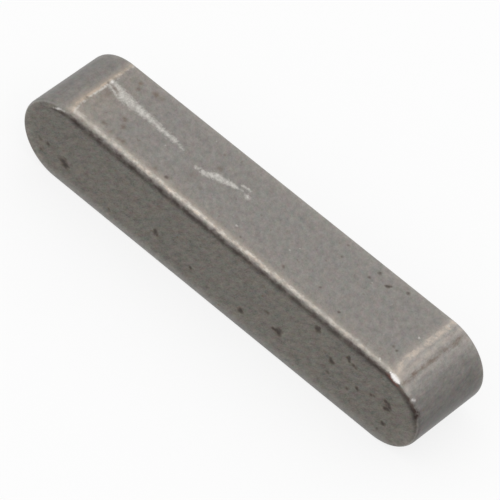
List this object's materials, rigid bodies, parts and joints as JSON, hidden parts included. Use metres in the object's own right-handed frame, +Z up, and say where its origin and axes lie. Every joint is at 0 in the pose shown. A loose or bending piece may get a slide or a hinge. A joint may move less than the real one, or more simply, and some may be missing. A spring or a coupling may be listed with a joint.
{
  "type": "parallel key",
  "caption": "Round-ended parallel key of square section with rounded edges, which locks a hub to a shaft in matching keyways.",
  "frame": {"origin": "under the middle of the key, on the surface that its lower flank lies on", "axes": "+X along the key, +Y across its height from shaft face to hub face, +Z up, across its width from flank to flank"},
  "size_m": [0.032, 0.006, 0.006],
  "materials": {
    "key_steel": "bare drawn key steel, fine matt grain, small dark pits, light scratches on one flank"
  },
  "bodies": {
    "root": {"parallel_key": "key_steel"}
  },
  "joints": []
}
